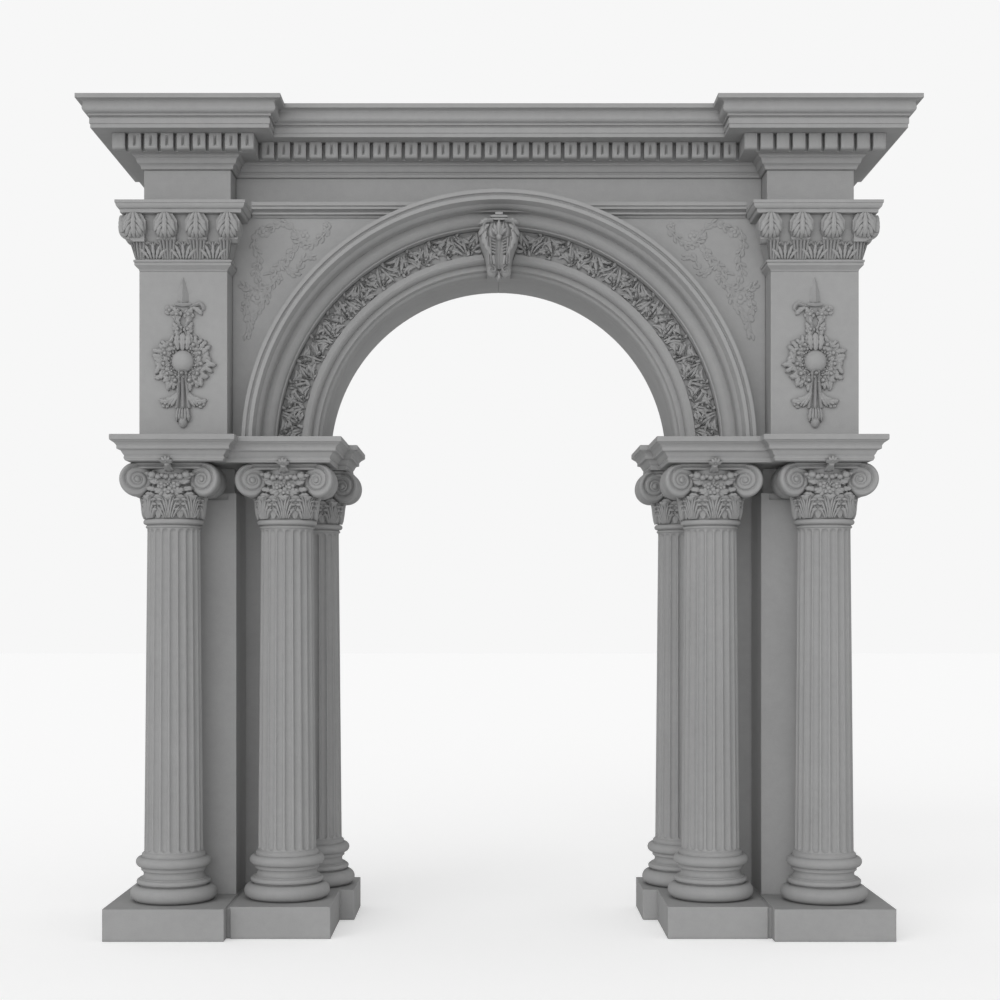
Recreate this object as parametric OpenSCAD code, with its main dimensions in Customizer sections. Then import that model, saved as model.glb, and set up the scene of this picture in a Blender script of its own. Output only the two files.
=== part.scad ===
// Arched portal of the composite order: a round arch on paired fluted columns, flanked by
// square piers that carry a broken entablature with dentils.
// Millimetres. X runs across the front, -Y is the front, +Z is up.
// The origin is on the ground, midway between the two ends and midway through the depth.

/* [Plan] */
// Distance from the centre line to the axis of the outer columns
outer_column_x = 1682; // [1665:1:1720]
// Distance from the centre line to the axis of the inner columns
inner_column_x = 1105; // [1095:1:1115]
// Distance from the centre line to the axis of the jamb columns
jamb_column_x = 1011; // [1000:1:1020]
// Depth position of the outer column axes
outer_column_y = -295; // [-310:1:-290]
// Depth position of the inner column axes
inner_column_y = -215; // [-230:1:-210]
// Depth position of the jamb column axes
jamb_column_y = 245; // [235:1:255]
// Depth position of the back face of the wall
wall_back_y = 445; // [430:1:460]

/* [Plinths] */
// Height of all plinth blocks
plinth_h = 163; // [120:1:200]
// Width of the outer plinth
outer_plinth_w = 610; // [590:1:630]
// Width of the inner plinth
inner_plinth_w = 508; // [490:1:516]
// How far the jamb plinth reaches past the jamb column axis, towards the passage
jamb_plinth_reach = 238; // [235:1:250]
// How far the outer plinth stands in front of the column axis
outer_plinth_front = 305; // [270:1:320]
// How far the inner plinth stands in front of the column axis
inner_plinth_front = 310; // [270:1:320]
// How far the plinths stand out behind the wall
plinth_back = 25; // [10:1:60]
// Width of the mortar joint between the outer and the inner plinth
plinth_joint = 20; // [5:1:30]
// How far the mortar lies behind the front of the inner plinth
joint_recess = 14; // [4:1:30]
// How far the piers stand back from the inner edge of the outer plinth
pier_inset = 5; // [0:1:20]

/* [Columns] */
// Radius of the shaft above its base
shaft_r = 151; // [140:1:153]
// Radius of the shaft under its capital
shaft_top_r = 135; // [125:1:140]
// Number of flutes round a shaft
flutes = 20; // [16:1:24]
// Radius of one flute
flute_r = 20; // [15:1:20]
// Depth of one flute
flute_depth = 13; // [8:1:15]
// Height of the column base above the plinth
base_h = 254; // [240:1:270]
// Largest radius of the base
base_r = 222; // [215:1:228]
// Height of the shaft, without its necking
shaft_h = 1663; // [1400:1:1900]
// Height of the necking, with its bead and its ring
necking_h = 47; // [40:1:60]
// Height of the capital
capital_h = 288; // [270:1:310]
// Radius of a volute
volute_r = 86; // [82:1:88]
// Distance of a volute's eye from the column axis, to the side
volute_reach = 170; // [165:1:174]
// Distance of a volute's eye from the column axis, to the front
volute_front = 129; // [120:1:135]
// Angle by which the volute faces turn towards each other
volute_turn = 24; // [18:1:28]

/* [Lower piers] */
// Width of the square piers behind the outer columns
pier_w = 448; // [430:1:460]
// Gap between the back of the outer shaft and the lower pier
shaft_gap = 4; // [2:1:20]
// Height of the sunk neck of the lower pier
neck_h = 140; // [120:1:180]
// How far the neck is sunk on the front
neck_sink = 150; // [110:1:200]
// How far the neck is sunk on its sides
neck_side = 30; // [10:1:60]
// Depth position of the recessed wall beside the lower pier
recess_y = 200; // [150:1:260]

/* [Impost] */
// Height of the impost moulding
impost_h = 128; // [110:1:160]
// Projection of the impost's top band
impost_out = 70; // [60:1:90]
// Front of the impost's core over the outer column, ahead of its axis
impost_front_outer = 215; // [200:1:230]
// Front of the impost's core over the inner column, ahead of its axis
impost_front_inner = 185; // [170:1:200]
// Front of the impost's core over the jamb column, ahead of its axis
impost_front_jamb = 175; // [160:1:190]
// Reach of the impost's core beyond the outer column axis, towards the end
impost_end = 205; // [200:1:220]
// Reach of the outer block's core past the outer column axis, towards the passage
impost_outer_in = 285; // [270:1:300]
// Reach of the inner block's core past the inner column axis
impost_inner_in = 235; // [225:1:245]
// Reach of the jamb block's core past the jamb column axis
impost_jamb_in = 186; // [175:1:195]
// How far the impost's core stands out behind the wall
impost_back = 60; // [40:1:80]

/* [Arch] */
// Radius of the arch soffit
arch_r = 937; // [900:1:960]
// Depth of the arch centre below the top of the imposts
arch_drop = 45; // [0:1:80]
// Width of the moulded archivolt
archivolt_w = 385; // [375:1:390]
// Depth position of the front face of the arch wall
wall_face_y = -280; // [-290:1:-270]
// Projection of the archivolt's outer band from the wall
archivolt_out = 100; // [80:1:110]
// Depth of the archivolt, from its front band to its seat in the wall
archivolt_depth = 425; // [400:1:450]
// How far the crown of the archivolt laps up over the frieze
crown_over = 96; // [60:1:110]
// Width of the key block at its widest
key_w = 204; // [160:1:230]
// How far the key block hangs below the crown of the soffit
key_hang = 85; // [60:1:100]
// How far the key block stops short of the outer edge of the archivolt
key_head = 125; // [110:1:140]
// How far the key block stands in front of the archivolt
key_out = 40; // [20:1:60]

/* [Upper piers] */
// Depth position of the front face of the upper piers
pier_face_y = -450; // [-460:1:-430]
// Height of the pier capital, from its necking to the top of the abacus
pier_capital_h = 340; // [320:1:360]
// Height of the pier's necking moulding
pier_ring_h = 55; // [40:1:65]
// Projection of the pier's necking moulding
pier_ring_out = 25; // [15:1:30]
// Projection of the pier's abacus
abacus_out = 104; // [95:1:110]
// Height of the pier's abacus
abacus_h = 62; // [50:1:70]
// Projection of the leaf heads under the abacus
leaf_out = 72; // [60:1:75]
// Width of one leaf head
leaf_w = 118; // [90:1:130]
// Projection of the string course from the arch wall
string_out = 34; // [30:1:45]
// Height of the string course
string_h = 78; // [70:1:85]
// How far the string course rises above the wall it caps
string_over = 44; // [40:1:50]

/* [Entablature] */
// Height of the frieze
frieze_h = 204; // [150:1:260]
// How far the frieze is set back from the piers and the wall, front and back
frieze_back = 120; // [100:1:140]
// Depth position of the frieze between the piers
frieze_centre_y = -154; // [-165:1:-140]
// Depth position of the back of the frieze
frieze_rear_y = 330; // [300:1:360]
// Height of the cornice
cornice_h = 312; // [300:1:340]
// Projection of the cornice
cornice_out = 289; // [280:1:310]
// Width of one dentil
dentil_w = 64; // [55:1:70]
// Distance from one dentil to the next
dentil_pitch = 81; // [78:1:100]
// Height of one dentil
dentil_h = 82; // [70:1:90]
// Depth of one dentil
dentil_d = 54; // [45:1:60]

/* [Drop ornament] */
// Radius of the wreath on each upper pier
wreath_r = 140; // [120:1:160]
// Thickness of the wreath
wreath_t = 50; // [40:1:60]
// Radius of the boss in the wreath
boss_r = 56; // [45:1:70]

/* [Hidden] */
$fn = 64;
arch_fn = 240;
stone = "#929292";
// Reach of a cutting box, the overrun of a cut, and the fit of an applied ornament
big = 6000;
eps = 1;
seat_gap = 0.3;

// Heights, from the ground up
shaft_z = plinth_h + base_h;
necking_z = shaft_z + shaft_h;
capital_z = necking_z + necking_h;
impost_z = capital_z + capital_h;
arch_foot_z = impost_z + impost_h;
arch_z = arch_foot_z - arch_drop;
archivolt_r = arch_r + archivolt_w;
frieze_z = arch_z + archivolt_r - crown_over;
cornice_z = frieze_z + frieze_h;
abacus_z = frieze_z - abacus_h;
pier_ring_z = frieze_z - pier_capital_h;
pier_bell_z = pier_ring_z + pier_ring_h;
pier_shaft_h = pier_ring_z - arch_foot_z;
string_z = frieze_z + string_over - string_h;

// Plan lines, left of the centre
outer_plinth_in = outer_column_x - outer_plinth_w / 2;
outer_plinth_end = outer_column_x + outer_plinth_w / 2;
inner_plinth_out = outer_plinth_in - plinth_joint;
inner_plinth_in = inner_column_x - inner_plinth_w / 2;
pier_in = outer_plinth_in + pier_inset;
pier_end = pier_in + pier_w;
lower_pier_y = outer_column_y + shaft_r + shaft_gap;
neck_y = lower_pier_y + neck_sink;
jamb_plinth_y = jamb_column_y - base_r;

// The archivolt: its face, and its seat in the wall
archivolt_y = wall_face_y - archivolt_out;
seat_r = archivolt_r - archivolt_w * 0.21;
seat_y = archivolt_y + archivolt_depth;

// Points on an arc, from one angle to another
function arc(cx, cy, r, from, to, steps = 6) =
    [for (i = [0:steps]) [cx + r * cos(from + (to - from) * i / steps), cy + r * sin(from + (to - from) * i / steps)]];

// Outline of a straight run of moulding with the same profile on its two faces.
// The profile lists [projection, height] from the bottom up.
function two_faced(near, far, profile) = concat(
    [for (p = profile) [near - p[0], p[1]]],
    [for (i = [len(profile) - 1:-1:0]) [far + profile[i][0], profile[i][1]]]);

// Moulding along X, with its profile on the front and on the back
module run_x(x0, x1, y0, y1, profile) {
    translate([x0, 0, 0])
        rotate([90, 0, 90])
            linear_extrude(x1 - x0) polygon(two_faced(y0, y1, profile));
}

// Moulding along Y, with its profile on the two ends
module run_y(x0, x1, y0, y1, profile) {
    translate([0, y1, 0])
        rotate([90, 0, 0])
            linear_extrude(y1 - y0) polygon(two_faced(x0, x1, profile));
}

// Block with a mitred moulding on all four sides
module moulded_block(x0, x1, y0, y1, profile, end_profile) {
    reach = max([for (p = profile) p[0]]) + eps;
    intersection() {
        run_x(x0 - reach, x1 + reach, y0, y1, profile);
        run_y(x0, x1, y0 - reach, y1 + reach, end_profile);
    }
}

module box(x0, x1, y0, y1, z0, z1) {
    translate([x0, y0, z0]) cube([x1 - x0, y1 - y0, z1 - z0]);
}

// Ring of round section about the Z axis
module ring(radius, thick, z) {
    translate([0, 0, z]) rotate_extrude() translate([radius - thick, 0]) circle(thick);
}

module disc(radius, z0, z1) {
    translate([0, 0, z0]) cylinder(r = radius, h = z1 - z0);
}

module at_column(left, x, y) {
    translate([left ? -x : x, y, 0]) children();
}

// The right half mirrors the left half
module side(left) {
    mirror([left ? 0 : 1, 0, 0]) children();
}

module plinths() color(stone) {
    box(-outer_plinth_end, -outer_plinth_in, outer_column_y - outer_plinth_front,
        wall_back_y + plinth_back, 0, plinth_h);
    box(-inner_plinth_out, -inner_plinth_in, inner_column_y - inner_plinth_front,
        jamb_plinth_y + eps, 0, plinth_h);
    box(-inner_plinth_out, -(jamb_column_x - jamb_plinth_reach), jamb_plinth_y,
        wall_back_y + plinth_back, 0, plinth_h);
    box(-outer_plinth_in - eps, -inner_plinth_out + eps,
        inner_column_y - inner_plinth_front + joint_recess,
        wall_back_y + plinth_back - joint_recess, 0, plinth_h - joint_recess / 2);
}

// Attic base: two rolls with a bead and a hollow between them
lower_roll = base_h * 0.16;
upper_roll = base_h * 0.106;
upper_roll_r = base_r - base_h * 0.114;
bead = base_h * 0.058;
bead_r = base_r - base_h * 0.13;
hollow = base_h * 0.08;
hollow_r = shaft_r + 2;
fillet_r = shaft_r + 12;
base_core = concat(
    [[0, 0], [base_r - lower_roll, 0], [base_r - lower_roll, lower_roll * 2],
     [bead_r - bead, lower_roll * 2], [bead_r - bead, base_h * 0.46]],
    arc(hollow_r + hollow, base_h * 0.55, hollow, 270, 130, 6),
    [[upper_roll_r - upper_roll, base_h * 0.625], [upper_roll_r - upper_roll, base_h * 0.9],
     [fillet_r, base_h * 0.9], [fillet_r, base_h * 0.955], [shaft_r, base_h], [0, base_h]]);
module column_base() {
    translate([0, 0, plinth_h]) {
        rotate_extrude() polygon(base_core);
        ring(base_r, lower_roll, lower_roll);
        ring(bead_r, bead, base_h * 0.395);
        ring(upper_roll_r, upper_roll, base_h * 0.795);
    }
}

// Fluted shaft with the bead and the ring of its necking
taper = atan((shaft_r - shaft_top_r) / shaft_h);
necking_r = shaft_top_r + 20;
// Clearance of the walls round the necking and the scrolls of the columns, and the scrolls' reach with it
ring_gap = 3;
scroll_x = volute_reach + volute_r + ring_gap;
module flute() {
    low = flute_r * 1.1;
    high = shaft_h - low;
    out = flute_r - flute_depth;
    translate([shaft_r + out, 0, 0])
        rotate([0, -taper, 0]) {
            translate([0, 0, low]) cylinder(r = flute_r, h = high - low);
            translate([0, 0, low]) sphere(flute_r);
            translate([0, 0, high]) sphere(flute_r);
        }
}
module column_shaft() {
    difference() {
        translate([0, 0, shaft_z]) cylinder(r1 = shaft_r, r2 = shaft_top_r, h = shaft_h);
        for (i = [0:flutes - 1])
            rotate([0, 0, (i + 0.5) * 360 / flutes]) translate([0, 0, shaft_z]) flute();
    }
    disc(shaft_top_r + 1, necking_z, necking_z + necking_h * 0.36);
    disc(shaft_top_r + 3, necking_z + necking_h * 0.36, necking_z + necking_h);
    ring(shaft_top_r + necking_h * 0.17, necking_h * 0.14, necking_z + necking_h * 0.17);
    ring(necking_r, necking_h * 0.29, necking_z + necking_h * 0.7);
}

// Composite capital: bell of leaves, channelled band, and two scrolls that run from front to back
volute_rise = volute_r * tan(volute_turn);
module scroll() {
    inner = volute_reach - volute_r - eps;
    outer = volute_reach + volute_r + eps;
    intersection() {
        translate([volute_reach, volute_reach * 2, impost_z - volute_r])
            rotate([90, 0, 0]) cylinder(r = volute_r, h = volute_reach * 4);
        translate([0, 0, impost_z - volute_r * 2 - eps])
            linear_extrude(volute_r * 2 + eps * 2)
                polygon([[inner, -volute_front + volute_rise], [outer, -volute_front - volute_rise],
                    [outer, volute_front + volute_rise], [inner, volute_front - volute_rise]]);
    }
}
module capital() {
    leaves_h = capital_h * 0.43;
    band_z = impost_z - capital_h * 0.12;
    translate([0, 0, capital_z]) cylinder(r1 = shaft_top_r, r2 = shaft_top_r + 15, h = leaves_h);
    disc(shaft_top_r * 0.74, capital_z + leaves_h, impost_z);
    box(-volute_reach, volute_reach, -volute_front * 0.78, volute_front * 0.78, band_z, impost_z);
    scroll();
    mirror([1, 0, 0]) scroll();
}

module outer_base(left) color(stone) at_column(left, outer_column_x, outer_column_y)
    difference() {
        column_base();
        box(-base_r, base_r, lower_pier_y - outer_column_y, base_r + eps, 0, shaft_z + eps);
    }
module inner_base(left) color(stone) at_column(left, inner_column_x, inner_column_y) column_base();
module jamb_base(left) color(stone) at_column(left, jamb_column_x, jamb_column_y) column_base();
module outer_shaft(left) color(stone) at_column(left, outer_column_x, outer_column_y) column_shaft();
module inner_shaft(left) color(stone) at_column(left, inner_column_x, inner_column_y) column_shaft();
module jamb_shaft(left) color(stone) at_column(left, jamb_column_x, jamb_column_y) column_shaft();
module outer_capital(left) color(stone) at_column(left, outer_column_x, outer_column_y) capital();
module inner_capital(left) color(stone) at_column(left, inner_column_x, inner_column_y) capital();
module jamb_capital(left) color(stone) at_column(left, jamb_column_x, jamb_column_y) capital();

// Square pier behind the outer column, with a sunk neck behind the capital
module lower_pier() color(stone) {
    neck_z = impost_z - neck_h;
    difference() {
        union() {
            box(-pier_end, -pier_in, lower_pier_y, wall_back_y, plinth_h, neck_z);
            box(-pier_end + neck_side, -pier_in - neck_side, neck_y, wall_back_y, neck_z, impost_z);
        }
        at_column(true, outer_column_x, outer_column_y) {
            disc(necking_r + ring_gap, necking_z, neck_z + eps);
            box(-scroll_x, scroll_x, 0, volute_front + volute_rise + ring_gap,
                impost_z - volute_r * 2 - ring_gap, neck_z + eps);
        }
    }
}

module recess_wall() color(stone)
    box(-pier_in, -jamb_column_x - scroll_x, recess_y, wall_back_y, plinth_h, impost_z);

// Impost: a top band on a hollow, a fillet, a smaller hollow and a bead.
// Each pair is a part of the projection and a part of the height.
impost_steps = [[0, 0], [0.05, 0], [0.08, 0.05], [0.13, 0.09], [0.13, 0.16], [0.08, 0.19],
    [0.16, 0.24], [0.2, 0.28], [0.25, 0.33], [0.31, 0.39], [0.38, 0.42], [0.47, 0.435],
    [0.56, 0.44], [0.56, 0.57], [0.6, 0.61], [0.66, 0.65], [0.73, 0.69], [0.82, 0.72],
    [0.91, 0.75], [0.92, 0.78], [1, 0.78], [1, 1]];
impost_profile = [for (p = impost_steps) [p[0] * impost_out, impost_z + p[1] * impost_h]];
module impost() color(stone) {
    back_y = wall_back_y + impost_back;
    moulded_block(-outer_column_x - impost_end, -outer_column_x + impost_outer_in,
        outer_column_y - impost_front_outer, back_y, impost_profile, impost_profile);
    moulded_block(-outer_column_x, -inner_column_x + impost_inner_in,
        inner_column_y - impost_front_inner, back_y, impost_profile, impost_profile);
    moulded_block(-inner_column_x, -jamb_column_x + impost_jamb_in,
        jamb_column_y - impost_front_jamb, back_y, impost_profile, impost_profile);
}

// Half of the wall over the arch, with the seat of the archivolt cut into it
module about_arch() {
    translate([0, 0, arch_z]) rotate([-90, 0, 0]) children();
}
module arch_wall() color(stone) {
    difference() {
        box(-pier_in, 0, wall_face_y, wall_back_y, arch_foot_z, frieze_z);
        about_arch() translate([0, 0, wall_face_y - eps]) cylinder(r = arch_r, h = big, $fn = arch_fn);
        about_arch() translate([0, 0, wall_face_y - eps]) cylinder(r = seat_r, h = seat_y - wall_face_y + eps, $fn = arch_fn);
    }
}

// Archivolt: bands that step back from the outer edge to the soffit.
// Each pair is a part of the width from the soffit out, and a part of the depth.
archivolt_steps = concat(
    [[1, 0.224], [1, 0], [0.953, 0], [0.943, 0.02], [0.928, 0.026], [0.915, 0.016], [0.908, -0.007], [0.86, -0.007]],
    arc(0.886, 0.212, 0.11, 240, 170, 6),
    [[0.777, 0.353], [0.709, 0.353]],
    arc(0.714, 0.455, 0.1, 260, 180, 6),
    [[0.597, 0.461], [0.597, 0.706], [0.265, 0.706], [0.265, 0.588], [0.192, 0.588],
     [0.17, 0.6], [0.15, 0.63], [0.14, 0.68], [0.14, 0.706], [0.068, 0.706], [0.057, 0.753]],
    arc(0.06, 0.83, 0.05, 260, 180, 4),
    [[0, 0.87], [0, 1], [0.79, 1], [0.79, 0.224]]);
archivolt_profile = [for (p = archivolt_steps)
    [arch_r + p[0] * archivolt_w, archivolt_y + p[1] * archivolt_depth]];
module archivolt() color(stone) {
    difference() {
        union() {
            about_arch() rotate_extrude($fn = arch_fn) polygon(archivolt_profile);
            intersection() {
                about_arch() translate([0, 0, wall_face_y - eps])
                    cylinder(r = archivolt_r, h = frieze_centre_y - wall_face_y + eps, $fn = arch_fn);
                box(-archivolt_r, archivolt_r, -big, big, frieze_z, big);
            }
        }
        box(-big, big, -big, big, -big, arch_foot_z);
        box(-big, big, frieze_centre_y, big, frieze_z, big);
        key_prism(-big, key_back_y);
    }
}
// Outline of the key block
key_bottom_z = arch_z + arch_r - key_hang;
key_top_z = arch_z + archivolt_r - key_head;
key_h = key_top_z - key_bottom_z;
key_front_y = archivolt_y - key_out;
key_back_y = archivolt_y + archivolt_depth * 0.93;
module key_shape() {
    half = key_w / 2;
    waist_z = key_bottom_z + key_h * 0.35;
    wide_z = key_top_z - key_h * 0.35;
    cap_z = key_top_z - key_h * 0.09;
    polygon([[-half * 0.55, key_bottom_z], [half * 0.55, key_bottom_z], [half * 0.62, waist_z],
        [half, wide_z], [half * 0.8, cap_z], [half * 0.45, key_top_z],
        [-half * 0.45, key_top_z], [-half * 0.8, cap_z], [-half, wide_z],
        [-half * 0.62, waist_z]]);
}
module key_prism(y0, y1) {
    translate([0, y1, 0]) rotate([90, 0, 0]) linear_extrude(y1 - y0) key_shape();
}
module keystone() color(stone) {
    foot_r = key_h * 0.1;
    difference() {
        key_prism(key_front_y, key_back_y);
        box(-big, big, wall_face_y, big, arch_z + seat_r, big);
        box(-big, big, key_front_y - eps, archivolt_y + archivolt_depth * 0.28, 0, key_bottom_z + foot_r * 2);
    }
    for (x = [-key_w * 0.22, key_w * 0.22])
        translate([x - key_w * 0.13, key_front_y + key_h * 0.38, key_bottom_z + foot_r * 1.8])
            rotate([0, 90, 0]) cylinder(r = foot_r, h = key_w * 0.26);
}

module upper_pier() color(stone)
    box(-pier_end, -pier_in, pier_face_y, wall_back_y, arch_foot_z, pier_ring_z);

// Pier capital: necking, flared bell with leaf heads, and the abacus.
// Each pair is a part of the projection and a part of the height.
ring_steps = [[0, 0], [0.04, 0.12], [0.25, 0.22], [0.6, 0.38], [0.82, 0.48], [0.84, 0.52], [0.84, 0.66], [0.78, 0.7],
    [0.78, 0.73], [1, 0.78], [1, 0.95], [0.6, 1]];
bell_steps = [[0.05, 0.05], [0.1, 0.14], [0.17, 0.24], [0.24, 0.33], [0.28, 0.37], [0.36, 0.7], [0.6, 1]];
abacus_steps = [[0.72, 0], [0.78, 0.04], [0.79, 0.31], [0.8, 0.33], [0.86, 0.36], [0.91, 0.44], [0.945, 0.55],
    [0.962, 0.66], [0.965, 0.74], [1, 0.77], [1, 1]];
bell_h = abacus_z - pier_bell_z;
pier_capital_profile = concat(
    [for (p = ring_steps) [p[0] * pier_ring_out, pier_ring_z + p[1] * pier_ring_h]],
    [for (p = bell_steps) [p[0] * leaf_out, pier_bell_z + p[1] * bell_h]],
    [for (p = abacus_steps) [p[0] * abacus_out, abacus_z + p[1] * abacus_h]]);
// One leaf head: an upright face that rolls under to a thin lip, narrow where it leaves the abacus
leaf_roll = leaf_out / 2;
leaf_profile = concat(
    [[leaf_roll - leaf_out, abacus_z], [leaf_out, abacus_z - eps], [leaf_out, abacus_z - bell_h * 0.31]],
    arc(leaf_out - leaf_roll, abacus_z - bell_h * 0.31, leaf_roll, 0, -80, 6),
    [[leaf_out * 0.6, abacus_z - bell_h * 0.49], [leaf_out * 0.6, abacus_z - bell_h * 0.56],
     [leaf_out * 0.3, abacus_z - bell_h * 0.62], [leaf_roll - leaf_out, abacus_z - bell_h * 0.62]]);
leaf_outline = [[0.31, 0], [0.5, 0.16], [0.5, 0.36], [0.38, 0.5], [0.33, 0.63]];
leaf_points = concat(
    [for (p = leaf_outline) [p[0] * leaf_w, abacus_z - p[1] * bell_h]],
    [for (i = [len(leaf_outline) - 1:-1:0]) [-leaf_outline[i][0] * leaf_w, abacus_z - leaf_outline[i][1] * bell_h]]);
module leaf_heads(length, count) {
    step = (length + leaf_out * 2 - leaf_w) / (count - 1);
    for (i = [0:count - 1])
        translate([(i - (count - 1) / 2) * step, 0, 0])
            intersection() {
                translate([-leaf_w / 2, 0, 0])
                    rotate([90, 0, 90]) linear_extrude(leaf_w) polygon([for (p = leaf_profile) [-p[0], p[1]]]);
                translate([0, leaf_out, 0])
                    rotate([90, 0, 0]) linear_extrude(leaf_out * 3) polygon(leaf_points);
            }
}
module pier_capital() color(stone) {
    depth = wall_back_y - pier_face_y;
    mid = [-(pier_in + pier_end) / 2, (wall_back_y + pier_face_y) / 2, 0];
    difference() {
        union() {
            moulded_block(-pier_end, -pier_in, pier_face_y, wall_back_y, pier_capital_profile,
                pier_capital_profile);
            translate([mid[0], pier_face_y, 0]) leaf_heads(pier_w, 4);
            translate([mid[0], wall_back_y, 0]) rotate([0, 0, 180]) leaf_heads(pier_w, 4);
            translate([-pier_end, mid[1], 0]) rotate([0, 0, -90]) leaf_heads(depth, 7);
        }
        box(-pier_in, big, wall_face_y, wall_back_y, 0, big);
    }
}

// Hanging ornament on the face of the upper pier: spear, bow, wreath with a boss, and bud
wreath_z = arch_foot_z + pier_shaft_h * 0.45;
module wreath() {
    rotate([90, 0, 0]) rotate_extrude() translate([wreath_r - wreath_t / 2, 0]) circle(wreath_t / 2);
    sphere(boss_r);
    translate([-wreath_r, -eps, -wreath_r * 0.2]) cube([wreath_r * 2, eps, wreath_r * 0.3]);
}
module spear() {
    stem = pier_shaft_h * 0.18;
    translate([0, 0, wreath_r * 0.9]) {
        cylinder(r = wreath_r * 0.16, h = stem);
        translate([0, 0, stem * 0.78]) sphere(wreath_r * 0.34);
        translate([0, 0, stem]) cylinder(r1 = wreath_r * 0.28, r2 = wreath_r * 0.03, h = pier_shaft_h * 0.15);
    }
}
module tassel() {
    length = pier_shaft_h * 0.13;
    mirror([0, 0, 1])
        translate([0, 0, wreath_r * 0.96]) {
            cylinder(r1 = wreath_r * 0.43, r2 = wreath_r * 0.19, h = length);
            translate([0, 0, length * 0.86]) cylinder(r1 = wreath_r * 0.26, r2 = wreath_r * 0.06, h = length * 0.82);
        }
    for (x = [-1, 1])
        translate([x * wreath_r * 0.7, 0, -wreath_r * 1.15]) sphere(wreath_r * 0.38);
}
module drop_ornament() color(stone) {
    intersection() {
        translate([-(pier_in + pier_end) / 2, pier_face_y, wreath_z]) {
            wreath();
            spear();
            tassel();
        }
        box(-pier_end, -pier_in, -big, pier_face_y - seat_gap, 0, big);
    }
}

// String course: fillet, cavetto and bead along the top of the wall, from the pier to the archivolt.
// Each pair is a part of the projection and a part of the height.
string_steps = [[0, 0], [0.25, 0.03], [0.25, 0.13], [0.8, 0.2], [0.8, 0.3], [0.3, 0.37], [0.3, 0.42], [0.55, 0.5],
    [0.85, 0.55], [0.85, 0.68], [0.78, 0.7], [0.78, 0.73], [1, 0.76], [1, 1]];
string_profile = concat(
    [for (p = string_steps) [wall_face_y - p[0] * string_out, string_z + p[1] * string_h]],
    [[frieze_centre_y, string_z + string_h], [frieze_centre_y, frieze_z], [wall_face_y, frieze_z]]);
module string_course() color(stone) {
    difference() {
        translate([-pier_in + abacus_out, 0, 0])
            rotate([90, 0, 90])
                linear_extrude(pier_in - abacus_out) polygon(string_profile);
        about_arch() translate([0, 0, -big / 2]) cylinder(r = archivolt_r, h = big, $fn = arch_fn);
    }
}

module side_frieze() color(stone)
    box(-pier_end, -pier_in, pier_face_y + frieze_back, frieze_rear_y, frieze_z, cornice_z);

module centre_frieze() color(stone)
    box(-pier_in, pier_in, frieze_centre_y, frieze_rear_y, frieze_z, cornice_z);

// Cornice: bed mould, dentil band, corona, fillet, swelling band and a hollow under the top fillet.
// Each pair is a part of the projection and a part of the height.
dentil_back = cornice_out * 0.28;
dentil_face = dentil_back + dentil_d;
dentil_z = cornice_z + cornice_h * 0.235;
dentil_top = dentil_z + dentil_h;
bed_steps = [[0, 0], [0.03, 0], [0.045, 0.012], [0.05, 0.05], [0.06, 0.06], [0.068, 0.075], [0.095, 0.09],
    [0.105, 0.11], [0.112, 0.135], [0.122, 0.16], [0.135, 0.178], [0.155, 0.186], [0.165, 0.2], [0.17, 0.212],
    [0.19, 0.22], [0.19, 0.228]];
corona_out = cornice_out * 0.78;
corona_steps = [[0.78, 0.562], [0.795, 0.568], [0.795, 0.65], [0.775, 0.657], [0.775, 0.683], [0.815, 0.69],
    [0.815, 0.722], [0.835, 0.728], [0.87, 0.74], [0.893, 0.762], [0.902, 0.788], [0.9, 0.815], [0.893, 0.845],
    [0.886, 0.872], [0.887, 0.89], [0.9, 0.905], [0.93, 0.916], [0.965, 0.922], [0.985, 0.925], [1, 0.93], [1, 1]];
function cornice_part(steps) = [for (p = steps) [p[0] * cornice_out, cornice_z + p[1] * cornice_h]];
function cornice_line(band) = concat(cornice_part(bed_steps),
    [[band, dentil_z - eps], [band, dentil_top + eps], [corona_out, dentil_top + eps]],
    cornice_part(corona_steps));
// The dentil band is sunk between the dentils on the long faces and plain on the ends
cornice_profile = cornice_line(dentil_back);
cornice_end_profile = cornice_line(dentil_face - eps);
// The end block returns on its inner side only in front of the middle of the wall
module cornice_front() {
    intersection() {
        moulded_block(-pier_end, -pier_in, pier_face_y + frieze_back, frieze_rear_y, cornice_profile,
            cornice_end_profile);
        box(-big, big, -big, 0, 0, big);
    }
}
module side_cornice() color(stone) {
    cornice_front();
    intersection() {
        moulded_block(-pier_end, 0, pier_face_y + frieze_back, frieze_rear_y, cornice_profile,
            cornice_end_profile);
        box(-big, -pier_in, 0, big, 0, big);
    }
}
module centre_cornice() color(stone) {
    difference() {
        run_x(-pier_in, pier_in, frieze_centre_y, frieze_rear_y, cornice_profile);
        side(true) cornice_front();
        side(false) cornice_front();
    }
}

// A row of dentils along X, spread evenly over its length
module dentil_row(x0, x1, y) {
    count = floor((x1 - x0 - dentil_w) / dentil_pitch) + 1;
    step = (x1 - x0 - dentil_w) / (count - 1);
    for (i = [0:count - 1])
        translate([x0 + i * step, y, dentil_z]) cube([dentil_w, dentil_d, dentil_h]);
}
module dentils() color(stone) {
    front_y = pier_face_y + frieze_back - dentil_face - seat_gap;
    rear_y = frieze_rear_y + dentil_back + seat_gap;
    row_end = -pier_in + dentil_face;
    for (left = [true, false])
        side(left) {
            dentil_row(-pier_end - dentil_face, row_end, front_y);
            dentil_row(-pier_end - dentil_face, -dentil_pitch / 2 + dentil_w / 2, rear_y);
        }
    centre_end = pier_in - dentil_face - dentil_pitch + dentil_w;
    dentil_row(-centre_end, centre_end, frieze_centre_y - dentil_face - seat_gap);
}

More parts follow.
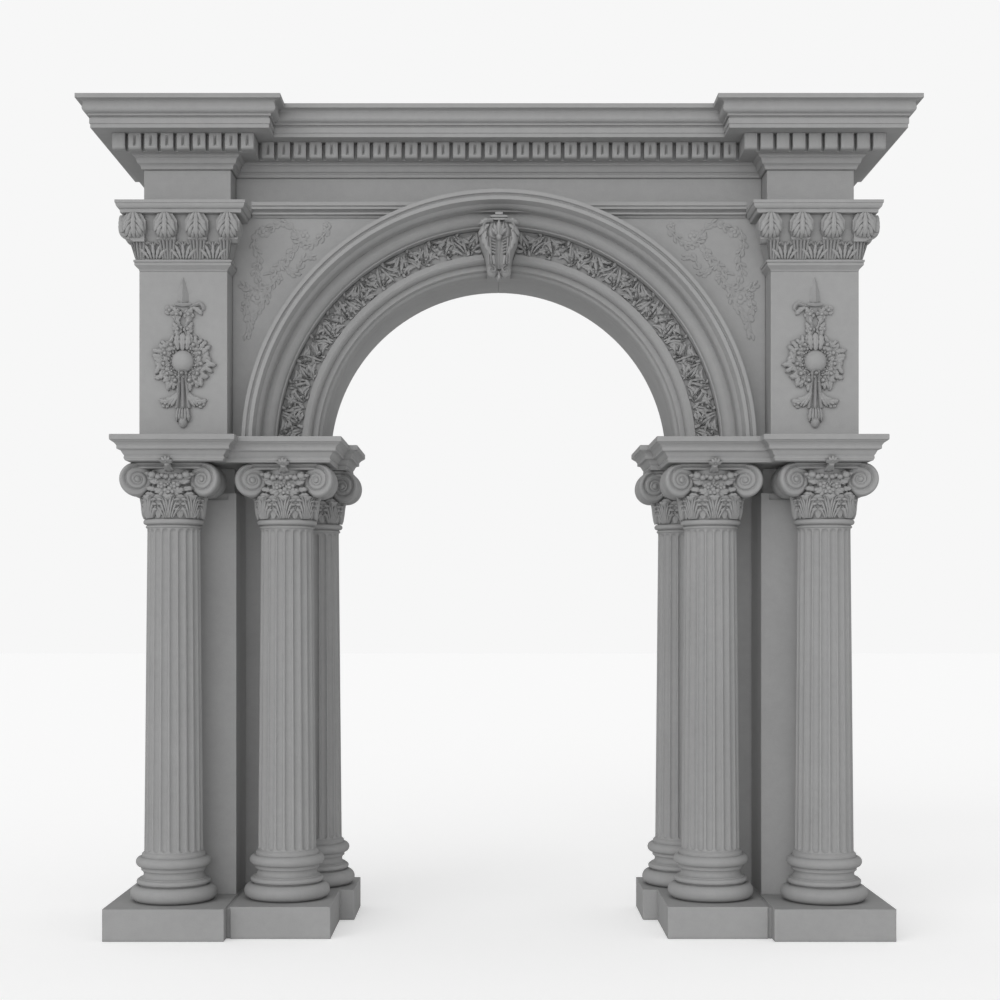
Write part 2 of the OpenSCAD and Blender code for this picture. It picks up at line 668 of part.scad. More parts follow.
side(true) plinths();  // left_plinths
side(false) plinths();  // right_plinths
outer_base(true);  // left_outer_base
outer_base(false);  // right_outer_base
inner_base(true);  // left_inner_base
inner_base(false);  // right_inner_base
jamb_base(true);  // left_jamb_base
jamb_base(false);  // right_jamb_base
outer_shaft(true);  // left_outer_shaft
outer_shaft(false);  // right_outer_shaft
inner_shaft(true);  // left_inner_shaft
inner_shaft(false);  // right_inner_shaft
jamb_shaft(true);  // left_jamb_shaft
jamb_shaft(false);  // right_jamb_shaft
outer_capital(true);  // left_outer_capital
outer_capital(false);  // right_outer_capital
inner_capital(true);  // left_inner_capital
inner_capital(false);  // right_inner_capital
jamb_capital(true);  // left_jamb_capital
jamb_capital(false);  // right_jamb_capital
side(true) lower_pier();  // left_lower_pier
side(false) lower_pier();  // right_lower_pier
side(true) recess_wall();  // left_recess_wall
side(false) recess_wall();  // right_recess_wall
side(true) impost();  // left_impost
side(false) impost();  // right_impost
side(true) arch_wall();  // left_arch_wall
side(false) arch_wall();  // right_arch_wall
side(true) upper_pier();  // left_upper_pier
side(false) upper_pier();  // right_upper_pier
side(true) pier_capital();  // left_pier_capital
side(false) pier_capital();  // right_pier_capital
side(true) drop_ornament();  // left_drop_ornament
side(false) drop_ornament();  // right_drop_ornament
side(true) string_course();  // left_string_course
side(false) string_course();  // right_string_course
side(true) side_frieze();  // left_frieze
side(false) side_frieze();  // right_frieze
centre_frieze();
side(true) side_cornice();  // left_cornice
side(false) side_cornice();  // right_cornice
centre_cornice();
archivolt();
keystone();
dentils();
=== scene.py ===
"""Looks of the arched portal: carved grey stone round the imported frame."""

import math
import random

import bmesh
import bpy
from mathutils import Matrix, Vector


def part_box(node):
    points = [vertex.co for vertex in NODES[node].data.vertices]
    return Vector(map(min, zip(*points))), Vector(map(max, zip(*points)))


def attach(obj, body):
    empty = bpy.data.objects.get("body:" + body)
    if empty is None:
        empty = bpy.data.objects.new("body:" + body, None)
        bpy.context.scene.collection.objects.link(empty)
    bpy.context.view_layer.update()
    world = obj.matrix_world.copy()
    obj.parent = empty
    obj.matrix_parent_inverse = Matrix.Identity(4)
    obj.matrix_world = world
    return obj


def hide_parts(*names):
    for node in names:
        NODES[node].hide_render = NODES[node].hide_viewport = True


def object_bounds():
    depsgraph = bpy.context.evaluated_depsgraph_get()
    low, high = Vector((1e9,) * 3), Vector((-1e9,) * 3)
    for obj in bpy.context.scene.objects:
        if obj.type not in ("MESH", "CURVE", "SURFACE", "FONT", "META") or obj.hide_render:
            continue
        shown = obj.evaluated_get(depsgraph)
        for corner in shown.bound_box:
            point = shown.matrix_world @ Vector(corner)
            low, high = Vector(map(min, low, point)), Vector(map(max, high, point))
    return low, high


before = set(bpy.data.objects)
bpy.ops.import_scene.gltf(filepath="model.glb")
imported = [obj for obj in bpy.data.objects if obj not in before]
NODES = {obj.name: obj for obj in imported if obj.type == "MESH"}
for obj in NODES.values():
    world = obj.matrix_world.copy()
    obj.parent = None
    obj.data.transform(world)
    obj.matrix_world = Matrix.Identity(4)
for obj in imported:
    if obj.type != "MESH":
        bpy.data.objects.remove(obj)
CAD_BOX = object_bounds()
DRAW = random.Random(7)
PI = math.pi

# Camera: a standing viewer in front of the portal, looking level along +Y
EYE_X, EYE_DISTANCE, EYE_HEIGHT = -0.041, 8.696, 1.65
EYE = Vector((EYE_X, CAD_BOX[0].y - EYE_DISTANCE, EYE_HEIGHT))
SENSOR = 36.0
LENS = 62.75
SHIFT = (0.009, 0.112)

# Light: tone of the backdrop, part of it that lights the object, and the key's strength, direction and
# breadth in degrees
BACKDROP = 0.93
WORLD_LEVEL = 0.66
KEY_POWER = 1.3
KEY_FROM = (-0.42, -0.9, 0.22)
KEY_ANGLE = 60
# Weak lights without shadows that lift the hollows: (power, direction they come from)
FILLS = ((0.4, (-0.05, -1, 0.1)), (0.1, (-0.9, -0.35, 0.1)), (0.12, (0.9, -0.35, 0.1)))
FILL_ANGLE = 30
# The floor's paint, and the glow that brings it up to the backdrop in the camera's eyes
FLOOR_TONE = 0.9
FLOOR_GLOW = 0.283
FLOOR_REACH = 60

# Stone: dark and light of its clouds, how far the shade painted into a hollow dims it, and over what
# distance
STONE_DARK, STONE_LIGHT = 0.278, 0.328
PAINTED_SHADE_TONE, PAINTED_SHADE_REACH = 0.7, 0.022
ROUGHNESS = 0.85

# Edges sharper than this many degrees stay crisp, and the width of the rounded arrises
SHARP = 38
ARRIS, SHAFT_ARRIS = 0.004, 0.0015
WELD = 0.00005

# Cross-section of a carved stroke: (part of its half width, part of its height)
ROUND = [(-1, -0.25), (-0.72, 0.62), (0, 1), (0.72, 0.62), (1, -0.25)]
# Cross-section of a fleshy leaf: (part of its half width, part of its rise, rib up or hollow down)
LEAF_HALF = [(0, 1.0, 1), (0.25, 0.97, -1), (0.5, 0.91, 1), (0.75, 0.8, -0.3), (0.93, 0.5, 0),
             (1, -0.35, 0)]
LEAF = [(-s, rise, rib) for s, rise, rib in LEAF_HALF[:0:-1]] + LEAF_HALF


def make_camera():
    data = bpy.data.cameras.new("camera")
    data.sensor_width = SENSOR
    data.lens = LENS
    data.shift_x, data.shift_y = SHIFT
    camera = bpy.data.objects.new("camera", data)
    camera.location = EYE
    camera.rotation_euler = (math.radians(90), 0, 0)
    bpy.context.scene.collection.objects.link(camera)
    bpy.context.scene.camera = camera


def grey(value):
    return value, value, value, 1


def nodes_of(material):
    """Clears a material's nodes and returns (nodes, link function, output node)."""
    material.use_nodes = True
    tree = material.node_tree
    tree.nodes.clear()
    return tree.nodes, tree.links.new, tree.nodes.new("ShaderNodeOutputMaterial")


def noise(nodes, link, coords, scale, detail):
    texture = nodes.new("ShaderNodeTexNoise")
    texture.inputs["Scale"].default_value = scale
    texture.inputs["Detail"].default_value = detail
    link(coords, texture.inputs["Vector"])
    return texture.outputs["Fac"]


def math_node(nodes, link, kind, a, b):
    node = nodes.new("ShaderNodeMath")
    node.operation = kind
    for socket, value in zip(node.inputs, (a, b)):
        if isinstance(value, (int, float)):
            socket.default_value = value
        else:
            link(value, socket)
    return node.outputs[0]


def stone_material():
    """Fine matt stone: an even grey with faint clouds and fine grain, with shade painted darker into its
    hollows.
    """
    material = bpy.data.materials.new("carved_stone")
    nodes, link, out = nodes_of(material)
    shader = nodes.new("ShaderNodeBsdfPrincipled")
    shader.inputs["Roughness"].default_value = ROUGHNESS
    coords = nodes.new("ShaderNodeTexCoord").outputs["Object"]
    clouds = noise(nodes, link, coords, 2.2, 4)
    grain = noise(nodes, link, coords, 160, 3)
    mottle = noise(nodes, link, coords, 24, 3)
    tone = math_node(nodes, link, "ADD", math_node(nodes, link, "MULTIPLY", clouds, 0.5),
                     math_node(nodes, link, "ADD", math_node(nodes, link, "MULTIPLY", mottle, 0.3),
                               math_node(nodes, link, "MULTIPLY", grain, 0.2)))
    ramp = nodes.new("ShaderNodeValToRGB")
    ramp.color_ramp.elements[0].position = 0.3
    ramp.color_ramp.elements[0].color = grey(STONE_DARK)
    ramp.color_ramp.elements[1].position = 0.7
    ramp.color_ramp.elements[1].color = grey(STONE_LIGHT)
    link(tone, ramp.inputs["Fac"])
    # Painted shade: where ambient occlusion finds a hollow, crease or recess, the colour is multiplied
    # darker
    hollow = nodes.new("ShaderNodeAmbientOcclusion")
    hollow.samples = 6
    hollow.inputs["Distance"].default_value = PAINTED_SHADE_REACH
    painted_shade = nodes.new("ShaderNodeMapRange")
    painted_shade.inputs["From Min"].default_value = 0.15
    painted_shade.inputs["From Max"].default_value = 0.9
    painted_shade.inputs["To Min"].default_value = PAINTED_SHADE_TONE
    painted_shade.inputs["To Max"].default_value = 1.0
    link(hollow.outputs["AO"], painted_shade.inputs["Value"])
    shade = nodes.new("ShaderNodeMix")
    shade.data_type = "RGBA"
    shade.blend_type = "MULTIPLY"
    shade.inputs["Factor"].default_value = 1.0
    link(ramp.outputs["Color"], shade.inputs["A"])
    link(painted_shade.outputs["Result"], shade.inputs["B"])
    link(shade.outputs["Result"], shader.inputs["Base Color"])
    bump = nodes.new("ShaderNodeBump")
    bump.inputs["Strength"].default_value = 0.25
    bump.inputs["Distance"].default_value = 0.002
    link(math_node(nodes, link, "ADD", math_node(nodes, link, "MULTIPLY", mottle, 1.5), grain),
         bump.inputs["Height"])
    link(bump.outputs["Normal"], shader.inputs["Normal"])
    link(shader.outputs["BSDF"], out.inputs["Surface"])
    return material


def make_stage():
    """A pale diffuse floor that takes the object's shadow, and looks near white to the camera."""
    material = bpy.data.materials.new("studio_white")
    nodes, link, out = nodes_of(material)
    paint = nodes.new("ShaderNodeBsdfDiffuse")
    paint.inputs["Color"].default_value = grey(FLOOR_TONE)
    glow = nodes.new("ShaderNodeEmission")
    path = nodes.new("ShaderNodeLightPath")
    seen = math_node(nodes, link, "MULTIPLY", path.outputs["Is Camera Ray"], FLOOR_GLOW)
    link(seen, glow.inputs["Strength"])
    add = nodes.new("ShaderNodeAddShader")
    link(paint.outputs["BSDF"], add.inputs[0])
    link(glow.outputs["Emission"], add.inputs[1])
    link(add.outputs["Shader"], out.inputs["Surface"])
    mesh = bpy.data.meshes.new("studio")
    corners = ((-1, -1), (1, -1), (1, 1), (-1, 1))
    mesh.from_pydata([(FLOOR_REACH * x, FLOOR_REACH * y, 0) for x, y in corners], [], [(0, 1, 2, 3)])
    floor = bpy.data.objects.new("studio", mesh)
    mesh.materials.append(material)
    bpy.context.scene.collection.objects.link(floor)


def make_sun(name, power, source, angle):
    lamp = bpy.data.lights.new(name, "SUN")
    lamp.angle = math.radians(angle)
    lamp.energy = power
    sun = bpy.data.objects.new(name, lamp)
    sun.rotation_euler = Vector(source).to_track_quat("Z", "Y").to_euler()
    bpy.context.scene.collection.objects.link(sun)
    return lamp


def make_light():
    """A pale world that lights evenly, a broad soft light from the left in front, and the weak fills."""
    world = bpy.data.worlds.new("studio")
    bpy.context.scene.world = world
    world.use_nodes = True
    nodes, link = world.node_tree.nodes, world.node_tree.links.new
    back = nodes["Background"]
    back.inputs["Color"].default_value = grey(BACKDROP)
    path = nodes.new("ShaderNodeLightPath")
    level = nodes.new("ShaderNodeMapRange")
    level.inputs["To Min"].default_value = WORLD_LEVEL
    level.inputs["To Max"].default_value = 1.0
    link(path.outputs["Is Camera Ray"], level.inputs["Value"])
    link(level.outputs["Result"], back.inputs["Strength"])
    make_sun("key", KEY_POWER, KEY_FROM, KEY_ANGLE)
    for i, (power, source) in enumerate(FILLS):
        make_sun(f"fill_{i}", power, source, FILL_ANGLE).use_shadow = False


class Shape:
    """Vertices and faces of a carving, gathered before they become one piece."""

    def __init__(self):
        self.verts, self.faces = [], []

    def rings(self, rows):
        """Quads between rows of points that each close on themselves."""
        base, width = len(self.verts), len(rows[0])
        for row in rows:
            self.verts.extend(row)
        for i in range(len(rows) - 1):
            for j in range(width):
                a, b = base + i * width + j, base + i * width + (j + 1) % width
                self.faces.append((a, b, b + width, a + width))
        return base

    def solid(self, rows):
        """A closed form: rows of points that each close on themselves, capped at both ends."""
        width = len(rows[0])
        base = self.rings(rows)
        self.faces.append(tuple(range(base + width - 1, base - 1, -1)))
        top = base + (len(rows) - 1) * width
        self.faces.append(tuple(range(top, top + width)))

    def add(self, other, matrix=None):
        base = len(self.verts)
        self.verts.extend((matrix @ Vector(v) if matrix else v) for v in other.verts)
        flip = matrix is not None and matrix.determinant() < 0
        for face in other.faces:
            moved = tuple(base + i for i in face)
            self.faces.append(moved[::-1] if flip else moved)


def ball(shape, centre, x, y, z, around, up):
    """An ellipsoid on three half axes."""
    rows = []
    for i in range(1, up):
        a = PI * i / up
        rows.append([centre - z * math.cos(a) + (x * math.cos(b) + y * math.sin(b)) * math.sin(a)
                     for b in (2 * PI * j / around for j in range(around))])
    base = shape.rings(rows)
    low, high = len(shape.verts), len(shape.verts) + 1
    shape.verts.extend([centre - z, centre + z])
    last = base + (up - 2) * around
    for j in range(around):
        k = (j + 1) % around
        shape.faces.append((low, base + k, base + j))
        shape.faces.append((high, last + j, last + k))


def revolve(shape, profile, around):
    """A turned form about the upright axis. The profile lists (radius, height) from the bottom up."""
    angles = [2 * PI * j / around for j in range(around)]
    shape.solid([[Vector((r * math.cos(a), r * math.sin(a), z)) for a in angles] for r, z in profile])


def stroke(shape, place, path, width, height):
    """A raised line on a surface. place(u, v, h) gives points of the surface, and path lists (u, v).
    width and height are functions of the part of the way along it."""
    rows = []
    count = len(path)
    for i, (u, v) in enumerate(path):
        before, after = path[max(i - 1, 0)], path[min(i + 1, count - 1)]
        du, dv = after[0] - before[0], after[1] - before[1]
        size = math.hypot(du, dv) or 1e-9
        part = i / (count - 1)
        w, h = width(part), height(part)
        rows.append([place(u - dv / size * w * a, v + du / size * w * a, h * b) for a, b in ROUND])
    shape.solid(rows)


def lens(w, end):
    """Widths of a leaf: narrow at both ends and widest before the middle."""
    return lambda part: w * max(end, math.sin(PI * min(1, part * 0.92 + 0.04)) ** 0.8)


def taper(a, b):
    return lambda part: a + (b - a) * part


def curve(points, steps):
    """A smooth path through the points."""
    out = []
    for i in range(len(points) - 1):
        p0, p1 = points[max(i - 1, 0)], points[i]
        p2, p3 = points[i + 1], points[min(i + 2, len(points) - 1)]
        for k in range(steps):
            t = k / steps
            out.append(tuple(0.5 * (2 * b + (c - a) * t + (2 * a - 5 * b + 4 * c - d) * t * t
                                    + (3 * b - a - 3 * c + d) * t ** 3)
                             for a, b, c, d in zip(p0, p1, p2, p3)))
    out.append(tuple(points[-1]))
    return out


def spiral(u, v, r0, r1, start, turns, steps):
    """Points that wind in from radius r0 to r1; turns below zero wind the other way."""
    count = max(4, int(abs(turns) * steps))
    return [(u + r0 * (r1 / r0) ** (i / count) * math.cos(start + 2 * PI * turns * i / count),
             v + r0 * (r1 / r0) ** (i / count) * math.sin(start + 2 * PI * turns * i / count))
            for i in range(count + 1)]


def flower(shape, place, u, v, radius, height, petals=5, turn=0.0):
    """A flower of rounded petals about a knob, on a surface."""
    around = petals * 6
    rows = []
    for part, rise in ((0.97, -0.35), (1.0, 0.3), (0.9, 0.62), (0.7, 0.72), (0.45, 0.6), (0.36, 0.52),
                       (0.33, 0.8), (0.22, 1.05), (0.06, 1.12)):
        row = []
        for j in range(around):
            a = 2 * PI * j / around
            petal = abs(math.cos(petals * a / 2)) ** 0.6
            wave = petal if part > 0.4 else 1.0
            r = radius * part * (0.76 + 0.24 * wave)
            row.append(place(u + r * math.cos(a + turn), v + r * math.sin(a + turn),
                             height * (rise - 0.3 * (1 - wave) * (rise > 0))))
        rows.append(row)
    shape.solid(rows)


def frond(shape, place, u, v, angle, length, width, height, bend=0.0, lobes=4):
    """A fleshy leaf with swept lobes and a ribbed face, on a rib that bends by so many radians.
    width is half its width."""
    rows = []
    count = lobes * 4
    ribs = min(width * 0.045, height * 0.2)
    for i in range(count + 1):
        t = i / count
        a = angle + bend * t
        if i:
            u += math.cos(a) * length / count
            v += math.sin(a) * length / count
        body = max(0.1, math.sin(PI * (0.12 + 0.85 * t)) ** 0.7)
        half = width * body * (0.7 + 0.3 * abs(math.sin(PI * (lobes * t + 0.25))))
        rise = height * (0.7 + 0.3 * math.sin(PI * t))
        rows.append([place(u + math.cos(a) * width * 0.5 * s * s - math.sin(a) * half * s,
                           v + math.sin(a) * width * 0.5 * s * s + math.cos(a) * half * s,
                           rise * dome + ribs * body * rib) for s, dome, rib in LEAF])
    shape.solid(rows)


def finish_piece(name, shape, nodes=()):
    """Makes a piece of the shape: smooth stone that rides on the root and may stand for CAD nodes."""
    mesh = bpy.data.meshes.new(name)
    mesh.from_pydata([tuple(v) for v in shape.verts], [], shape.faces)
    work = bmesh.new()
    work.from_mesh(mesh)
    bmesh.ops.recalc_face_normals(work, faces=work.faces)
    work.to_mesh(mesh)
    work.free()
    mesh.polygons.foreach_set("use_smooth", [True] * len(mesh.polygons))
    mesh.set_sharp_from_angle(angle=math.radians(SHARP))
    mesh.materials.append(STONE)
    piece = bpy.data.objects.new(name, mesh)
    bpy.context.scene.collection.objects.link(piece)
    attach(piece, "root")
    if nodes:
        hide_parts(*nodes)


def mirrored(shape):
    other = Shape()
    other.add(shape, Matrix.Diagonal((-1, 1, 1, 1)))
    return other


def both_sides(name, shape, *nodes):
    """The left piece and its mirror image on the right."""
    finish_piece("left_" + name, shape, ["left_" + n for n in nodes])
    finish_piece("right_" + name, mirrored(shape), ["right_" + n for n in nodes])


# The composite capital, about the column's axis with its foot at height 0
VOLUTE_R = 0.086
VOLUTE_X, VOLUTE_Y = 0.172, 0.129
VOLUTE_DRIFT = 0.011
VOLUTE_SLOPE = math.tan(math.radians(24))
BELL_LOW, BELL_HIGH = 0.135, 0.150
LEAF_TOP = 0.118
BAND_H = 0.034


def spiral_groove(r, a):
    """Depth of the channel that winds clockwise from the top of a scroll in to its eye."""
    wound = ((PI / 2 - a) % (2 * PI)) / (2 * PI)
    f = math.log(VOLUTE_R * 0.8 / r) / math.log(1.87) - wound
    near = round(f)
    if near < 0 and wound < 0.8:
        return 0.0
    return r * 0.19 * math.exp(-((f - near) / 0.17) ** 2)


def scroll(top):
    """The right-hand scroll: a bolster from front to back with a spiral channel in both faces."""
    shape = Shape()
    around, rings = 72, 26
    centre = top - VOLUTE_R
    eye = VOLUTE_R * 0.18
    angles = [2 * PI * j / around for j in range(around)]

    def point(r, a, off):
        """A point at radius r of the round outline; the centre drifts towards the eye as r shrinks."""
        return (VOLUTE_X + r * math.cos(a) * 0.93 - off, centre + r * math.sin(a))

    def face(y):
        rows = []
        for i in range(rings + 1):
            k = 1 - i / rings
            r = eye + (VOLUTE_R - eye) * k
            edge = 0.017 * max(0.0, (k - 0.8) / 0.2) ** 2.4
            row = []
            for a in angles:
                px, pz = point(r, a, VOLUTE_DRIFT * (1 - k))
                reach = math.hypot(px - (VOLUTE_X - VOLUTE_DRIFT), pz - centre)
                turn = math.atan2(pz - centre, px - (VOLUTE_X - VOLUTE_DRIFT))
                depth = spiral_groove(max(reach, 0.01), turn) * (1 if k < 0.97 else 0) + edge
                row.append(Vector((px, y * (VOLUTE_Y + VOLUTE_SLOPE * (px - VOLUTE_X) - depth), pz)))
            rows.append(row)
        for part, rise in ((0.85, 0.005), (0.5, 0.009), (0.12, 0.011)):
            rows.append([Vector((px, y * (VOLUTE_Y + VOLUTE_SLOPE * (px - VOLUTE_X) + rise), pz))
                         for px, pz in (point(eye * part, a, VOLUTE_DRIFT) for a in angles)])
        return rows[::-1]

    rows = face(-1)
    side = []
    for part, full, lean in ((0.85, 1.01, 0.9), (0.74, 1.025, 0.75), (0.6, 1.03, 0.5), (0.46, 1.01, 0.3),
                             (0.34, 0.96, 0.1), (0.25, 0.89, 0), (0.2, 0.86, 0), (0.18, 0.91, 0),
                             (0.1, 0.93, 0), (0.02, 0.91, 0)):
        side.append([Vector((px, -part * (VOLUTE_Y + VOLUTE_SLOPE * (px - VOLUTE_X) * lean), pz))
                     for px, pz in (point(VOLUTE_R * full, a, 0) for a in angles)])
    rows += side + [[Vector((p.x, -p.y, p.z)) for p in line] for line in side[::-1]] + face(1)[::-1]
    shape.solid(rows)
    return shape


def capital(top, lap):
    """Bell of leaves, channelled band and two scrolls, with garland and blossom on both long faces.
    lap is how far the fleuron leans out to lap over the impost."""
    shape = Shape()
    revolve(shape, [(BELL_LOW - 0.02, 0), (BELL_LOW, 0.001), (BELL_LOW + 0.001, 0.03),
                    (BELL_LOW + 0.004, 0.07), (BELL_HIGH - 0.008, LEAF_TOP), (0.128, LEAF_TOP + 0.012),
                    (0.124, top - 0.04), (0.11, top - 0.001)], 64)

    def on_bell(centre, lean, start=0.5):
        """Surface of a leaf about the angle: it follows the bell and curls out at its tip."""
        def place(u, v, h):
            a = centre + u / BELL_HIGH
            tip = max(0.0, v / LEAF_TOP - start) / (1 - start)
            r = BELL_LOW + 0.002 + 0.012 * v / LEAF_TOP + lean * tip ** 2.2 + h
            return Vector((r * math.sin(a), -r * math.cos(a), v - 0.005 * tip ** 4))
        return place

    for k in range(8):
        back = on_bell(2 * PI * (k + 0.5) / 8, 0.005)
        frond(shape, back, 0, 0.002, PI / 2, 0.116, 0.04, 0.008, lobes=3)
        front = on_bell(2 * PI * k / 8, 0.009)
        frond(shape, front, 0, 0.002, PI / 2, 0.118, 0.05, 0.011)
        for u, turn, length in ((0.036, 0.34, 0.07), (0.024, 0.16, 0.1), (0.011, 0.06, 0.116),
                                (0, 0, 0.12)):
            for side in (-1, 1):
                frond(shape, front, side * u * 0.6, 0.002, PI / 2 - side * turn, length, 0.008, 0.024,
                      side * -0.25, 2)
        for side in (-1, 1):
            for v in (0.04, 0.066, 0.09):
                frond(shape, front, side * 0.024, v, PI / 2 - side * 0.9, 0.034, 0.01, 0.022,
                      side * -0.8, 2)
        frond(shape, front, 0, 0.092, PI / 2, 0.034, 0.03, 0.02, lobes=2)

    face = Shape()

    def front(u, v, h):
        """The face between the scrolls, a little hollow in plan."""
        return Vector((u, -VOLUTE_Y + 0.01 * (1 - min(1.0, (u / VOLUTE_X) ** 2)) - h, v))

    # Band between the scrolls: fillet, channel, fillet
    bar = [(0.09, top - 0.001), (0.0, top - 0.001), (-0.005, top - 0.003), (-0.005, top - 0.011),
           (0.001, top - 0.013), (0.006, top - 0.017), (0.005, top - 0.021), (-0.001, top - 0.023),
           (-0.001, top - 0.031), (0.006, top - BAND_H), (0.09, top - BAND_H)]
    ends = [(-1 + i / 10, 0.014 * max(0.0, (abs(-1 + i / 10) - 0.75) / 0.25) ** 1.5) for i in range(21)]
    face.solid([[front(VOLUTE_X * part, z, 0) + Vector((0, y + back, 0)) for y, z in bar]
                for part, back in ends])

    # Fleuron at the middle, which laps over the impost
    def leaning(u, v, h):
        out = max(0.0, min(1.0, (v - top + 0.045) / 0.045))
        return Vector((u, -VOLUTE_Y - (lap - VOLUTE_Y) * out - h, v))

    # Its stalk, from the band out to the flower
    stalk = []
    for part in (0.0, 0.3, 0.6, 1.0):
        thick = 0.019 - 0.004 * part
        middle = Vector((0, 0.012 - VOLUTE_Y - (0.012 + 0.8 * (lap - VOLUTE_Y)) * part,
                         top - 0.036 + 0.026 * part))
        stalk.append([middle + Vector((thick * math.cos(PI * k / 8), 0, thick * math.sin(PI * k / 8)))
                      for k in range(16)])
    face.solid(stalk)
    for a in (0.35, 0.95, PI / 2, PI - 0.95, PI - 0.35):
        frond(face, leaning, 0, top - 0.012, a, 0.034, 0.009, 0.012, lobes=2)
    for side in (-1, 1):
        frond(face, leaning, side * 0.003, top - 0.014, -PI / 2 + side * 0.5, 0.034, 0.009, 0.014, lobes=2)
    flower(face, leaning, 0, top - 0.008, 0.017, 0.018, 5, 0.3)

    # Garland under the band: leaves behind, flowers before
    def swag(u, v, h):
        return front(u, v, h - 0.008)
    for side in (-1, 1):
        path = curve([(side * 0.094, top - 0.05), (side * 0.064, top - 0.085), (side * 0.03, top - 0.1),
                      (0, top - 0.104)], 4)
        stroke(face, swag, path, taper(0.016, 0.02), taper(0.016, 0.02))
        for k, (u, v) in enumerate(path[1::2]):
            for turn in (0.9, -0.7):
                frond(face, swag, u, v, -PI / 2 + side * 0.4 + turn * (1 if k % 2 else -1), 0.036, 0.011,
                      0.022, 0.6 * side, 2)
        for u, v, r in ((0.086, 0.064, 0.02), (0.056, 0.074, 0.017), (0.036, 0.067, 0.013),
                        (0.016, 0.074, 0.016)):
            ball(face, swag(side * u, top - v, 0.022), Vector((r, 0, 0)), Vector((0, 0.018, 0)),
                 Vector((0, 0, r * 0.85)), 14, 8)
            flower(face, swag, side * u, top - v, r * 1.15, 0.03, 5, u * 30)
        frond(face, swag, side * 0.05, top - 0.105, -side * 0.1 + (PI if side < 0 else 0), 0.05, 0.016,
              0.022, side * 0.7, 3)
        frond(face, swag, side * 0.06, top - 0.15, PI / 2 - side * 0.9, 0.056, 0.017, 0.026, -side * 0.7, 3)
        frond(face, swag, side * 0.07, top - 0.172, PI / 2 - side * 1.1, 0.05, 0.015, 0.02, -side * 0.5, 3)
    frond(face, swag, 0, top - 0.112, PI / 2, 0.05, 0.017, 0.026, lobes=2)

    # Blossom of drooping petals that hangs before the leaves
    low = top - 0.146
    for k in range(7):
        a = PI * (1.04 + 0.92 * k / 6)
        frond(face, lambda u, v, h: front(u, v, h + 0.014), 0.02 * math.cos(a),
              low + 0.004 + 0.006 * math.sin(a), a, 0.05 - 0.014 * abs(math.sin(a)), 0.015, 0.022,
              (k - 3) * -0.08, 2)
    for u, v, r, lift in ((-0.034, 0.018, 0.025, 0.024), (0.031, 0.02, 0.027, 0.024),
                          (0.001, -0.008, 0.029, 0.034), (-0.002, 0.032, 0.018, 0.02)):
        flower(face, lambda a, b, h: front(a, b, h + lift), u, low + v, r, 0.018, 5, u * 60)
    for side in (-1, 1):
        frond(face, lambda u, v, h: front(u, v, h + 0.012), side * 0.04, low + 0.006,
              0.15 if side > 0 else PI - 0.15, 0.034, 0.013, 0.02, -side * 0.5, 2)
    shape.add(face)
    shape.add(face, Matrix.Rotation(PI, 4, "Z"))
    one = scroll(top)
    shape.add(one)
    shape.add(one, Matrix.Diagonal((-1, 1, 1, 1)))
    return shape


# How far the fleuron of each column's capital leans out from the column's axis
FLEURON_LAP = {"outer": 0.232, "inner": 0.202, "jamb": 0.192}


def make_capitals():
    for which, lap in FLEURON_LAP.items():
        low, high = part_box(f"left_{which}_capital")
        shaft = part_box(f"left_{which}_shaft")
        x, y = (shaft[0].x + shaft[1].x) / 2, (shaft[0].y + shaft[1].y) / 2
        moved = Shape()
        moved.add(capital(high.z - low.z, lap), Matrix.Translation((x, y, low.z)))
        both_sides(f"{which}_capital_carving", moved, f"{which}_capital")


# The arch: its axis, and the sunk band that carries the scrolls. The band's edges and its depth are parts
# of the moulding's width and depth, and a bead stands BEAD_OUT before the moulding's front
ARCH_LOW, ARCH_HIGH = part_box("archivolt")
ARCH_OUT = (ARCH_HIGH.x - ARCH_LOW.x) / 2
ARCH_Z = ARCH_HIGH.z - ARCH_OUT
ARCH_W, ARCH_DEEP = 0.385, 0.425
BAND_FROM, BAND_TO, BAND_SUNK, BEAD_OUT = 0.265, 0.597, 0.706, 0.003
ARCH_IN = ARCH_OUT - ARCH_W
BAND_LOW, BAND_HIGH = ARCH_IN + ARCH_W * BAND_FROM, ARCH_IN + ARCH_W * BAND_TO
BAND_MID = (BAND_LOW + BAND_HIGH) / 2
BAND_Y = ARCH_LOW.y + BEAD_OUT + ARCH_DEEP * BAND_SUNK


